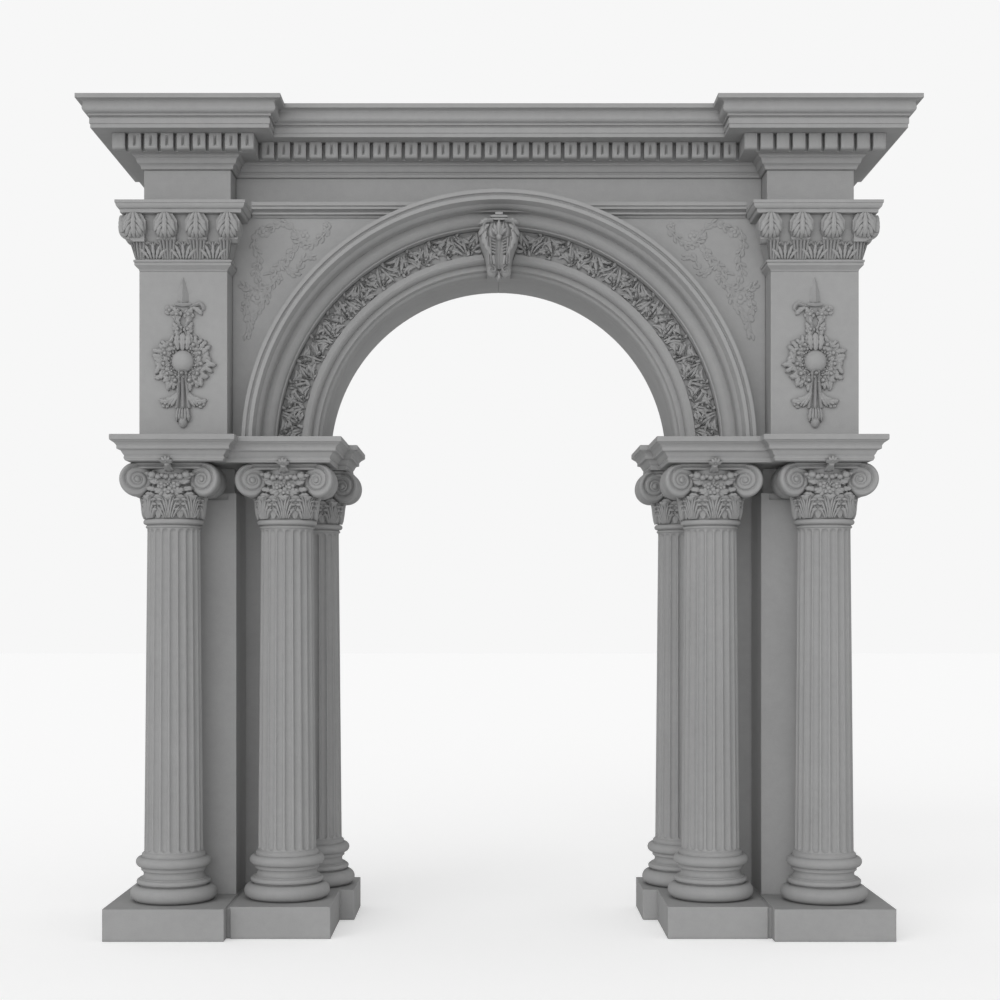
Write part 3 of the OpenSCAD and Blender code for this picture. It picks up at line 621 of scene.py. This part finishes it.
def make_arch_scrolls():
    """Sprays of leaf and curling tendrils that run from the key block down both sides of the arch."""
    shape = Shape()
    half = (BAND_HIGH - BAND_LOW) / 2 - 0.002
    bed = 0.034

    def place(u, v, h):
        a = u / BAND_MID
        r = BAND_MID + max(-half, min(half, v))
        return Vector((-r * math.sin(a), BAND_Y - h, ARCH_Z + r * math.cos(a)))

    def layer(lift):
        return lambda u, v, h: place(u, v, bed + lift + h)

    start, end = 0.08, BAND_MID * (PI / 2 + 0.03)
    # A raised bed, the waving stem over it, and a spray of leaves and a tendril in every bay
    section = ((-half, -0.002), (half, -0.002), (half, bed), (-half, bed))
    shape.solid([[place(start + (end - start) * i / 96, v, h) for v, h in section] for i in range(97)])
    bays = 26
    length = (end - start) / bays
    for k in range(bays):
        side = 1 if k % 2 else -1
        u0 = start + length * (k + 0.5)
        for j in range(7):
            lean = (j - 3) * 0.26 + DRAW.uniform(-0.16, 0.16)
            frond(shape, layer(DRAW.uniform(0, 0.008)), u0 + (j - 3) * 0.012,
                  -side * half * DRAW.uniform(0.45, 0.95), side * (PI / 2 - lean),
                  DRAW.uniform(0.085, 0.115) * (1 - 0.1 * abs(j - 3)), DRAW.uniform(0.0085, 0.0125),
                  DRAW.uniform(0.014, 0.02), -side * lean * 1.6, 3)
    stem = [(start + (end - start) * i / (bays * 6), half * 0.5 * math.cos(PI * i / 6))
            for i in range(bays * 6 + 1)]
    stroke(shape, place, stem, lambda part: 0.008, lambda part: bed + 0.026)
    for k in range(bays):
        side = 1 if k % 2 else -1
        u0 = start + length * (k + 0.95)
        wind = spiral(u0, side * half * 0.4, 0.034, 0.009, DRAW.uniform(-0.6, 0.6) - side * PI / 2,
                      side * 1.15, 16)
        stroke(shape, place, wind, taper(0.009, 0.006), taper(bed + 0.026, bed + 0.022))
        ball(shape, place(u0, side * half * 0.4, bed + 0.014), place(0.009, 0, 0) - place(0, 0, 0),
             Vector((0, 0.012, 0)), Vector((0, 0, 0.009)), 10, 6)
        for j in range(3):
            u, v = wind[2 + 4 * j]
            frond(shape, layer(0.008), u, v, math.atan2(v - side * half * 0.4, u - u0) + side * 0.6, 0.042,
                  0.012, 0.016, side * 0.8, 2)
    both_sides("arch_scrolls", shape)


def make_key():
    """The key block: a fluted console with scrolled shoulders, two scroll feet and a drop."""
    low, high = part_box("keystone")
    shape = Shape()
    tall = high.z - low.z
    half = (high.x - low.x) / 2
    # Half width at a part of the height, and how far the face lies behind the front
    outline = [(0.19, 0.6, 0.07), (0.25, 0.6, 0.05), (0.35, 0.64, 0.036), (0.45, 0.72, 0.028),
               (0.55, 0.82, 0.022), (0.64, 0.95, 0.016), (0.7, 1.0, 0.012), (0.76, 1.0, 0.012),
               (0.82, 0.93, 0.014), (0.86, 0.84, 0.018), (0.9, 0.7, 0.024), (0.93, 0.5, 0.032)]
    rows = []
    for part, wide, behind in outline:
        row = [Vector((-half * wide, high.y, low.z + tall * part))]
        for k in range(41):
            t = -1 + k / 20
            flute = 0.005 * math.cos(5 * PI * t) * min(1, 3 * (1 - abs(t)) + 0.4)
            strip = 0.011 * math.exp(-(t / 0.17) ** 4) * (1 if part < 0.6 else 0)
            row.append(Vector((half * wide * t, low.y + behind + 0.008 - flute + strip + 0.05 * abs(t) ** 4,
                               low.z + tall * part)))
        row.append(Vector((half * wide, high.y, low.z + tall * part)))
        rows.append(row)
    shape.solid(rows)

    def upright(u, v, h):
        t = max(-1, min(1, u / half))
        return Vector((u, low.y + 0.026 + 0.03 * t ** 4 + 0.05 * max(0, 0.45 - v / tall) - h, low.z + v))

    for side in (-1, 1):
        # Shoulders: leaves that spring from the cap and fall outwards down the rim
        out = 0.0 if side > 0 else PI
        for k, (u, v, turn, size, wide) in enumerate(((0.05, 0.87, 0.15, 0.06, 0.017),
                                                      (0.062, 0.82, -0.5, 0.07, 0.018),
                                                      (0.076, 0.75, -1.1, 0.075, 0.017),
                                                      (0.082, 0.66, -1.45, 0.075, 0.014),
                                                      (0.072, 0.56, -1.6, 0.075, 0.012))):
            frond(shape, upright, side * (u - 0.012), tall * v, out + side * turn, size, wide,
                  0.028 - 0.003 * k, -side * 0.5, 3)
        stroke(shape, upright, curve([(side * 0.03, tall * 0.875), (side * 0.062, tall * 0.87),
                                      (side * 0.078, tall * 0.8), (side * 0.07, tall * 0.72)], 5),
               taper(0.012, 0.009), taper(0.034, 0.026))
        # Flutes and a braid that hang below, with a fold on each side
        for u0, u1, v0 in ((0.06, 0.05, 0.64), (0.046, 0.04, 0.62)):
            path = curve([(side * u0, tall * v0), (side * (u0 + u1) / 2, tall * 0.45),
                          (side * u1, tall * 0.24)], 6)
            stroke(shape, upright, path, taper(0.008, 0.006), taper(0.02, 0.014))
        for k in range(6):
            stroke(shape, upright, [(side * (0.018 + 0.006 * j), tall * (0.62 - 0.045 * k) + 0.002 * j)
                                    for j in range(5)], lambda part: 0.0068, lens(0.016, 0.6))
        stroke(shape, upright, [(side * (0.032 - 0.002 * j), tall * (0.36 - 0.03 * j)) for j in range(5)],
               taper(0.011, 0.008), taper(0.016, 0.012))
        # Palmette between the shoulders
        for turn, size in ((0.25, 0.07), (0.62, 0.062), (1.05, 0.05)):
            frond(shape, upright, side * 0.003, tall * 0.66, PI / 2 - side * turn, size, 0.0115, 0.034,
                  side * 0.5, 2)
        # Foot: a scroll that rolls under
        foot = Vector((side * 0.036, low.y + 0.094, low.z + tall * 0.17))
        ball(shape, foot, Vector((0.027, 0, 0)), Vector((0, 0.036, 0)), Vector((0, 0, 0.034)), 16, 10)
        stroke(shape, lambda u, v, h: Vector((foot.x + u, foot.y - 0.03 - h, foot.z + v)),
               spiral(0, 0.002, 0.023, 0.005, PI / 2, 1.3 * side, 14), taper(0.007, 0.004),
               taper(0.013, 0.012))
    # Middle leaf of the palmette and the knob at its foot
    frond(shape, upright, 0, tall * 0.66, PI / 2, 0.074, 0.013, 0.04, lobes=2)
    ball(shape, Vector((0, low.y + 0.02, low.z + tall * 0.64)), Vector((0.015, 0, 0)),
         Vector((0, 0.022, 0)), Vector((0, 0, 0.02)), 14, 10)
    for w, z0, z1, behind in ((0.044, 0.88, 0.905, 0.006), (0.037, 0.9, 0.93, 0.018),
                              (0.043, 0.924, 0.948, 0.008), (0.03, 0.945, 0.968, 0.022),
                              (0.019, 0.96, 0.998, 0.012)):
        front, rear = low.y + behind, low.y + 0.16
        corners = ((-w, front), (w, front), (w, rear), (-w, rear))
        shape.solid([[Vector((x, y, low.z + tall * z)) for x, y in corners] for z in (z0, z1)])
    tip = Vector((0, low.y + 0.11, low.z + 0.04))
    ball(shape, tip, Vector((0.018, 0, 0)), Vector((0, 0.02, 0)), Vector((0, 0, 0.032)), 10, 6)
    for side in (-1, 0, 1):
        frond(shape, lambda u, v, h: tip + Vector((u, -0.012 - h, v)), side * 0.006, 0.02,
              -PI / 2 + side * 0.7, 0.044, 0.011, 0.016, 0, 2)
    finish_piece("key_carving", shape, ["keystone"])


def make_spandrels():
    """Thin flowering branches in low relief beside the arch."""
    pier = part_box("left_upper_pier")
    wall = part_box("left_arch_wall")
    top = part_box("left_string_course")[0].z
    shape = Shape()

    def place(u, v, h):
        """u runs from the pier towards the arch, v down from the string course."""
        return Vector((pier[1].x + u, wall[0].y - h, top - v))

    branches = [
        [(0.51, 0.04), (0.46, 0.1), (0.41, 0.14), (0.37, 0.13), (0.33, 0.1)],
        [(0.35, 0.13), (0.31, 0.17), (0.28, 0.21), (0.24, 0.25), (0.2, 0.29)],
        [(0.24, 0.22), (0.29, 0.27), (0.33, 0.28), (0.37, 0.21), (0.41, 0.2)],
        [(0.24, 0.29), (0.21, 0.34), (0.17, 0.37), (0.1, 0.38), (0.06, 0.35)],
        [(0.18, 0.37), (0.17, 0.42), (0.14, 0.47), (0.1, 0.52)],
        [(0.08, 0.41), (0.07, 0.48), (0.09, 0.55), (0.08, 0.6)],
        [(0.36, 0.12), (0.3, 0.04), (0.24, 0.03), (0.18, 0.07)],
        [(0.13, 0.06), (0.11, 0.14), (0.14, 0.21), (0.12, 0.28), (0.15, 0.34)],
    ]
    for branch in branches:
        path = curve(branch, 6)
        stroke(shape, place, path, taper(0.007, 0.004), taper(0.006, 0.004))
        for k in range(2, len(path) - 1, 3):
            (u, v), (s, t) = path[k], path[k + 1]
            for side in (-1, 1):
                frond(shape, place, u, v, math.atan2(t - v, s - u) + side * DRAW.uniform(0.6, 1.2),
                      DRAW.uniform(0.026, 0.042), DRAW.uniform(0.009, 0.013), DRAW.uniform(0.004, 0.006),
                      -side * 0.8, 2)
    for u, v, r in ((0.37, 0.09, 0.03), (0.49, 0.04, 0.022), (0.3, 0.2, 0.02), (0.24, 0.31, 0.024),
                    (0.13, 0.41, 0.036), (0.08, 0.4, 0.022), (0.16, 0.07, 0.03), (0.1, 0.53, 0.022),
                    (0.06, 0.47, 0.018)):
        flower(shape, place, u, v, r, 0.007, 5, DRAW.uniform(0, 2))
    both_sides("spandrel_branch", shape)


def make_pier_capitals():
    """Leaves, their rolled heads and the ribs under them on three sides of each pier capital."""
    low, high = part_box("left_pier_capital")
    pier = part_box("left_upper_pier")
    abacus_h, ring_h, leaf_out, leaf_w = 0.062, 0.055, 0.072, 0.118
    top = high.z - abacus_h
    foot = low.z + ring_h
    tall = top - foot
    drop = tall * 0.31

    def row(origin, along, out, count, length, shape):
        step = (length + 2 * leaf_out - leaf_w) / (count - 1)
        for i in range(count):
            centre = (i - (count - 1) / 2) * step

            def bell(u, v, h, centre=centre):
                """Surface of the bell below the heads; at the corners it ends on the arris."""
                part = v / tall
                edge = length / 2 + 0.002 + leaf_out * (0.1 + 0.5 * part)
                along_it = max(-edge, min(edge, centre * (1 - 0.05 * (1 - part)) + u))
                return (origin + along * along_it + out * (0.003 + leaf_out * 0.75 * part + h)
                        + Vector((0, 0, foot + v)))

            def head(u, v, h, centre=centre):
                """Rolled head: v goes down its face from the abacus and round under it."""
                roll = leaf_out / 2
                a = max(0.0, min(1.5, (v - drop) / roll))
                p = roll + (roll + 0.003) * math.cos(a)
                z = top - min(v, drop) - (roll + 0.002) * math.sin(a)
                p += 0.003 - 0.9 * u * u
                edge = length / 2 + leaf_out + 0.001
                return (origin + along * max(-edge, min(edge, centre + u)) + out * (p + h * math.cos(a))
                        + Vector((0, 0, z - h * math.sin(a))))

            # Head: fingers that part from the rib, with a broad leaf over them
            for side in (-1, 1):
                for v, turn, size in ((0.0, 0.7, 0.05), (0.016, 0.95, 0.064), (0.036, 1.0, 0.066),
                                      (0.056, 0.85, 0.06), (0.076, 0.6, 0.05)):
                    frond(shape, head, side * 0.008, v, PI / 2 - side * turn, size, 0.0135, 0.019,
                          side * 0.55, 2)
            frond(shape, head, 0, 0.0, PI / 2, 0.124, 0.019, 0.024, lobes=5)
            # Lip under the head and the leaf that carries it
            lip = [(-0.048 + 0.012 * k, tall * 0.465 + 0.006 * math.sin(PI * k / 8)) for k in range(9)]

            def front_of_lip(u, v, h, centre=centre):
                return (origin + along * (centre + u) + out * (leaf_out * 0.56 + h)
                        + Vector((0, 0, foot + v)))

            stroke(shape, front_of_lip, lip, lens(0.014, 0.7), lens(0.012, 0.7))
            for u in (-0.036, -0.018, 0, 0.018, 0.036):
                stroke(shape, bell, [(u * (0.7 + 0.06 * k), 0.002 + tall * 0.46 * k / 6) for k in range(7)],
                       taper(0.0085, 0.0095), taper(0.014, 0.02))
            if i == count - 1:
                continue

            def gap(u, v, h, centre=centre):
                return bell(u + step / 2, v, h, centre)
            for turn in (-0.5, 0.5, -0.25, 0.25, 0):
                frond(shape, gap, turn * 0.05, 0.003, PI / 2 - turn * 0.8, 0.082 - 0.03 * abs(turn), 0.0115,
                      0.018, turn * -1.2, 3)
            for side in (-1, 1):
                path = curve([(side * 0.006, 0.07), (side * 0.02, 0.084), (side * 0.034, 0.076)], 4)
                stroke(shape, gap, path, taper(0.006, 0.009), taper(0.018, 0.022))

    shape = Shape()
    mid = (pier[0] + pier[1]) / 2
    wide, deep = pier[1].x - pier[0].x, pier[1].y - pier[0].y
    row(Vector((mid.x, pier[0].y, 0)), Vector((1, 0, 0)), Vector((0, -1, 0)), 4, wide, shape)
    row(Vector((mid.x, pier[1].y, 0)), Vector((-1, 0, 0)), Vector((0, 1, 0)), 4, wide, shape)
    row(Vector((pier[0].x, mid.y, 0)), Vector((0, -1, 0)), Vector((-1, 0, 0)), 7, deep, shape)
    both_sides("pier_capital_leaves", shape)


def make_drops():
    """The hanging ornament on each upper pier: spear, plate, wreath round a boss, tassels and bud."""
    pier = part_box("left_upper_pier")
    mid = (pier[0].x + pier[1].x) / 2
    wreath = pier[0].z + (pier[1].z - pier[0].z) * 0.45
    shape = Shape()

    def place(u, v, h):
        return Vector((mid + u, pier[0].y - h, wreath + v))

    ball(shape, place(0, 0, 0.006), Vector((0.059, 0, 0)), Vector((0, 0.046, 0)),
         Vector((0, 0, 0.059)), 32, 18)
    # Spear with a ridge: (height, half its width, rise)
    spear = ((0.3, 0.02, 0.022), (0.31, 0.033, 0.03), (0.35, 0.027, 0.028), (0.395, 0.014, 0.018),
             (0.43, 0.001, 0.004))
    shape.solid([[place(-w, v, -0.002), place(-w * 0.5, v, h * 0.45), place(0, v, h),
                  place(w * 0.5, v, h * 0.45), place(w, v, -0.002)] for v, w, h in spear])
    # Plate under the spear, with a cross flower and a curling leaf
    stroke(shape, place, [(-0.04 + 0.016 * k, 0.291) for k in range(6)], lens(0.014, 0.5), lens(0.02, 0.6))
    flower(shape, place, -0.068, 0.262, 0.028, 0.02, 4, 0.8)
    stroke(shape, place, curve([(0.03, 0.278), (0.06, 0.288), (0.088, 0.296), (0.105, 0.272),
                                (0.086, 0.256)], 4), lens(0.013, 0.4), lens(0.022, 0.5))
    frond(shape, place, 0.045, 0.275, -0.1, 0.06, 0.017, 0.018, -0.9, 3)
    # Cluster of stems, small flowers and leaves
    for side in (-1, 1):
        flower(shape, place, side * 0.03, 0.24, 0.03, 0.03, 5, side)
        flower(shape, place, side * 0.026, 0.165, 0.028, 0.028, 5, side * 2)
        stroke(shape, place, curve([(side * 0.02, 0.27), (side * 0.04, 0.22), (side * 0.012, 0.17),
                                    (side * 0.03, 0.11)], 5), taper(0.01, 0.009), taper(0.022, 0.022))
        for k in range(6):
            frond(shape, place, side * 0.014, 0.11 + 0.026 * k, PI / 2 - side * (0.75 + 0.2 * (k % 3)),
                  0.05, 0.014, 0.022, side * 0.8, 3)
        frond(shape, place, side * 0.02, 0.06, PI / 2 - side * 0.35, 0.075, 0.022, 0.036, side * 0.5, 3)
    frond(shape, place, 0, 0.055, PI / 2, 0.085, 0.026, 0.034, lobes=3)
    # Wreath: large leaves and flowers round the boss, open above
    for side in (-1, 1):
        angles = [PI * (0.08 + 0.76 * k / 18) for k in range(19)]
        ring = [(side * 0.1 * math.sin(a), 0.108 * -math.cos(a)) for a in angles]
        stroke(shape, place, ring, lambda part: 0.03, lambda part: 0.018)
        for k in range(1, 19):
            u, v = ring[k]
            out = math.atan2(v, u)
            size = 1.0 if 3 < k < 15 else 0.8
            for turn, length in ((0.8, 0.056), (-0.7, 0.052), (PI + 0.7, 0.034)):
                if (k + (turn > 0)) % 2:
                    frond(shape, place, u, v, out + turn + DRAW.uniform(-0.3, 0.3),
                          length * size * DRAW.uniform(0.95, 1.25), 0.017 * size, DRAW.uniform(0.02, 0.03),
                          DRAW.uniform(-0.7, 0.7), 3)
            if k % 4 == 1:
                flower(shape, place, u * 0.96, v * 0.96, 0.03, 0.038, 5, DRAW.uniform(0, 2))
            if k % 3 == 2:
                flower(shape, place, u * 0.7, v * 0.72, 0.02, 0.028, 5, DRAW.uniform(0, 2))
    # Stems that hang through the ring, tassels and bud
    for u in (-0.024, 0, 0.024):
        stroke(shape, place, curve([(u * 0.5, -0.04), (u * 0.8, -0.1), (u, -0.16), (u * 1.3, -0.235)], 5),
               taper(0.013, 0.011), taper(0.038, 0.02))
    flower(shape, place, 0, -0.062, 0.026, 0.056, 5)
    for side in (-1, 1):
        for k in range(5):
            frond(shape, place, side * (0.018 + 0.006 * k), -0.145 - 0.006 * k,
                  -PI / 2 + side * (0.22 + 0.16 * k), 0.094 - 0.004 * k, 0.013, 0.026 - 0.002 * k,
                  side * 0.5, 3)
        flower(shape, place, side * 0.088, -0.212, 0.026, 0.024, 5, side)
        frond(shape, place, side * 0.06, -0.2, -PI / 2 + side * 1.25, 0.056, 0.018, 0.024, side * 0.7, 3)
    for k in range(-2, 3):
        frond(shape, place, k * 0.011, -0.236, -PI / 2 + k * 0.12, 0.066, 0.0115, 0.042 - 0.005 * abs(k),
              -0.12 * k, 2)
    ball(shape, place(0, -0.296, 0.002), Vector((0.025, 0, 0)), Vector((0, 0.03, 0)),
         Vector((0, 0, 0.042)), 18, 12)
    both_sides("drop_carving", shape, "drop_ornament")


# Dentils: width, pitch and depth, and how far their faces and the cornice stand out from the frieze
DENTIL_W, DENTIL_PITCH, DENTIL_DEEP = 0.064, 0.081, 0.054
DENTIL_OUT, CORNICE_OUT = 0.135, 0.289
# Gap from an end block's row to the centre row, half the gap between the rear rows, and the gap at the seat
ROW_GAP, REAR_GAP, SEAT_GAP = 0.018, 0.009, 0.0003
# Depth of a slit. In the end blocks' rows, which lie before FRONT_ROWS, a dentil is plain where its middle
# is further out than the row's left end less PLAIN_REACH. That is the corner dentil on the left-hand
# block, but all nine on the right-hand block, whose left end is its inner one: a known fault
SLIT = 0.016
PLAIN_REACH = 0.05
FRONT_ROWS = -0.3
# (part of the height, how far the face steps back, depth of the slit) up the face
DENTIL_FACE = ((0, 0.016, 0), (0.04, 0.006, 0), (0.12, 0.001, 0), (0.2, 0, 0), (0.36, 0, SLIT),
               (0.66, 0, SLIT), (0.85, 0, 0), (1, 0, 0))


def dentil_rows():
    """Ends (x) and front (y) of each row of dentils, and the lowest and highest points of them all."""
    low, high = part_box("dentils")
    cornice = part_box("left_cornice")
    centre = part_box("centre_cornice")
    half = high.x
    inner = centre[1].x - DENTIL_OUT
    rear = high.y - DENTIL_DEEP
    end = inner - ROW_GAP
    centre_y = centre[0].y + CORNICE_OUT - DENTIL_OUT - SEAT_GAP
    rows = [(-half, -inner, low.y), (-half, -REAR_GAP, rear), (inner, half, low.y), (REAR_GAP, half, rear),
            (-end, end, centre_y)]
    return rows, low.z, high.z


def make_dentils():
    """Dentils with a rolled lower edge. Most have a pointed slit in the face: see PLAIN_REACH."""
    rows, z0, z1 = dentil_rows()
    shape = Shape()
    for x0, x1, y in rows:
        count = int((x1 - x0 - DENTIL_W) / DENTIL_PITCH + 1e-6) + 1
        step = (x1 - x0 - DENTIL_W) / (count - 1)
        front = -1 if y < 0 else 1
        face, back = (y, y + DENTIL_DEEP) if front < 0 else (y + DENTIL_DEEP, y)
        for i in range(count):
            left = x0 + i * step
            plain = y < FRONT_ROWS and abs(left + DENTIL_W / 2) > abs(x0) - PLAIN_REACH
            lines = []
            for part, inset, slit in DENTIL_FACE:
                cut = 0 if plain else slit
                z = z0 + (z1 - z0) * part
                across = ((0, 0.003), (0.06, 0), (0.36, 0), (0.5, cut), (0.64, 0), (0.94, 0), (1, 0.003))
                line = [Vector((left + DENTIL_W * t, face - front * (inset + c), z)) for t, c in across]
                line += [Vector((left + DENTIL_W, back, z)), Vector((left, back, z))]
                lines.append(line)
            shape.solid(lines)
    finish_piece("dentil_carving", shape, ["dentils"])


def dress_frame():
    """Stone on every CAD node, with softly rounded arrises on those that stay in view."""
    for name, node in NODES.items():
        node.data.materials.clear()
        node.data.materials.append(STONE)
        if node.hide_render:
            continue
        weld = node.modifiers.new("weld", "WELD")
        weld.merge_threshold = WELD
        bevel = node.modifiers.new("arris", "BEVEL")
        bevel.width = SHAFT_ARRIS if "shaft" in name else ARRIS
        bevel.segments = 1 if "shaft" in name else 2
        bevel.limit_method = "ANGLE"
        bevel.angle_limit = math.radians(SHARP)
        bevel.harden_normals = False


make_camera()
make_stage()
make_light()
STONE = stone_material()
make_capitals()
make_arch_scrolls()
make_key()
make_spandrels()
make_pier_capitals()
make_drops()
make_dentils()
dress_frame()

bpy.context.scene.view_settings.view_transform = "Standard"
